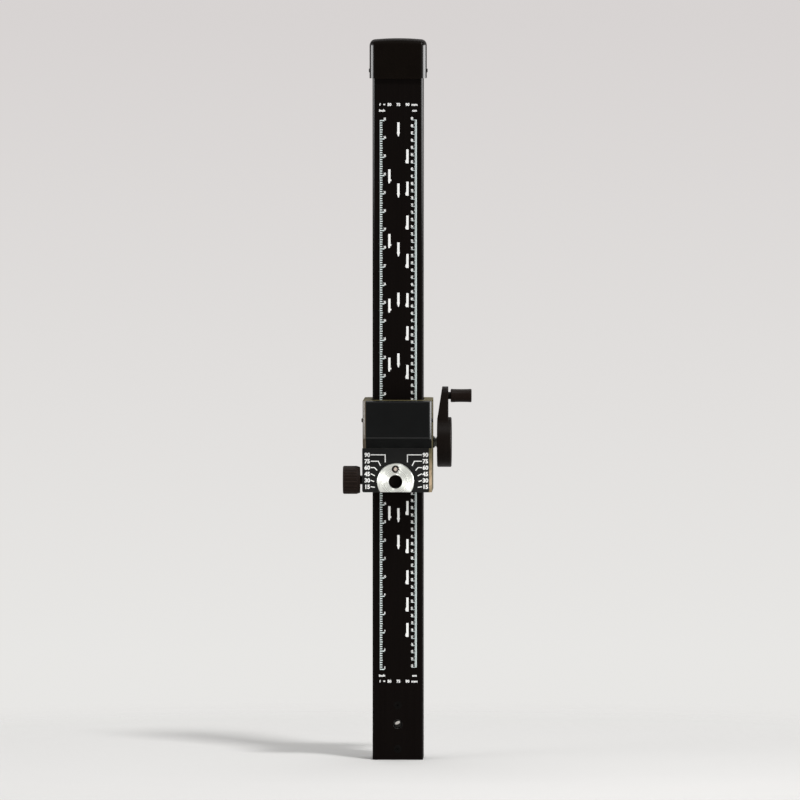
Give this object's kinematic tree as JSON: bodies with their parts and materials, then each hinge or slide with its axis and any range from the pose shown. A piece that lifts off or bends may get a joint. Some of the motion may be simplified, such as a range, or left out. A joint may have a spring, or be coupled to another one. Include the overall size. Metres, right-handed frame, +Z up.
{
  "type": "enlarger column",
  "caption": "Upright box column with a height scale, a rack, and a crank-driven carriage that carries a tilting head seat with an angle scale and a clamp knob.",
  "frame": {"origin": "centre of the column's bottom face", "axes": "+Z up the column, the printed face looks along -Y, the crank is on +X"},
  "size_m": [0.1768, 0.1593, 1.0018],
  "materials": {
    "black_anodised": "black anodised extrusion, satin",
    "black_casting": "black stove enamel on a die casting",
    "black_sheet": "black anodised sheet, satin",
    "black_moulding": "fine-grained black moulding",
    "turned_aluminium": "face-turned, satin",
    "steel": "zinc plated",
    "bright_steel": "bright nickel plated",
    "spring_steel": "polished strip",
    "blackened_steel": "blackened",
    "brass": "turned",
    "glide_plastic": "natural acetal",
    "rubber": "ground",
    "cast_iron": "as cast"
  },
  "bodies": {
    "column": {"column_tube": "black_anodised", "rack": "steel", "rack_pins": "steel", "foot_block": "cast_iron", "foot_screws": "blackened_steel", "foot_lock_screw": "bright_steel", "column_cap": "black_moulding", "cap_screws": "blackened_steel", "drum_bracket": "steel", "bracket_screws": "steel", "drum_axle": "steel", "axle_clips": "spring_steel"},
    "drum": {"spring_drum": "glide_plastic", "spring_coil": "spring_steel"},
    "carriage": {"spring_strip": "spring_steel", "strip_anchor": "steel", "anchor_screws": "steel", "strip_rivets": "steel", "carriage_body": "black_casting", "rear_cover": "black_sheet", "rear_cover_screws": "blackened_steel", "upper_glides": "glide_plastic", "lower_glides": "glide_plastic", "roller_axle": "steel", "pressure_leaf": "spring_steel", "pressure_screws": "steel", "front_cover": "black_moulding", "cover_screws": "blackened_steel", "angle_plate": "black_sheet", "shaft_bush": "brass"},
    "front_rollers": {"front_rollers": "rubber"},
    "tilt_head": {"tilt_disc": "turned_aluminium", "index_screw": "brass", "hub_ring": "spring_steel"},
    "clamp": {"clamp_knob": "black_moulding", "clamp_spindle": "steel"},
    "clamp_shoe": {"clamp_shoe": "brass"},
    "crank": {"pinion": "steel", "pinion_pin": "steel", "crank_shaft": "steel", "shaft_clip": "spring_steel", "thrust_collar": "bright_steel", "crank_arm": "black_moulding", "crank_screw": "blackened_steel", "grip_pin": "steel"},
    "grip": {"crank_grip": "black_moulding"}
  },
  "joints": [
    {"name": "carriage_slide", "type": "slide", "parent": "column", "child": "carriage", "axis": [0, 0, 1], "range_m": [-0.35, 0.43], "deforming": ["spring_strip"]},
    {"name": "drum_turn", "type": "hinge", "parent": "column", "child": "drum", "pos_m": [0, 0.0211, 0.9803], "axis": [1, 0, 0], "continuous": true},
    {"name": "front_roller_turn", "type": "hinge", "parent": "carriage", "child": "front_rollers", "pos_m": [0, -0.043, 0.467], "axis": [1, 0, 0], "continuous": true},
    {"name": "crank_turn", "type": "hinge", "parent": "carriage", "child": "crank", "pos_m": [0.06, 0.0465, 0.4385], "axis": [1, 0, 0], "continuous": true},
    {"name": "grip_spin", "type": "hinge", "parent": "crank", "child": "grip", "pos_m": [0.086, 0.0465, 0.5033], "axis": [1, 0, 0], "continuous": true},
    {"name": "head_tilt", "type": "hinge", "parent": "carriage", "child": "tilt_head", "pos_m": [-0.0023, -0.06, 0.3883], "axis": [0, 1, 0], "range_deg": [-90, 90]},
    {"name": "clamp_turn", "type": "hinge", "parent": "carriage", "child": "clamp", "pos_m": [-0.06, -0.05, 0.39], "axis": [1, 0, 0], "range_deg": [-360, 45]},
    {"name": "clamp_shoe_slide", "type": "slide", "parent": "carriage", "child": "clamp_shoe", "axis": [1, 0, 0], "range_m": [-0.0013, 0.0002]}
  ],
  "couplings": [
    {"joint": "crank_turn", "follows": "carriage_slide", "rad_per_m": 95.238},
    {"joint": "drum_turn", "follows": "carriage_slide", "rad_per_m": 80},
    {"joint": "front_roller_turn", "follows": "carriage_slide", "rad_per_m": -125},
    {"joint": "clamp_shoe_slide", "follows": "clamp_turn", "m_per_rad": 0.00019894}
  ]
}
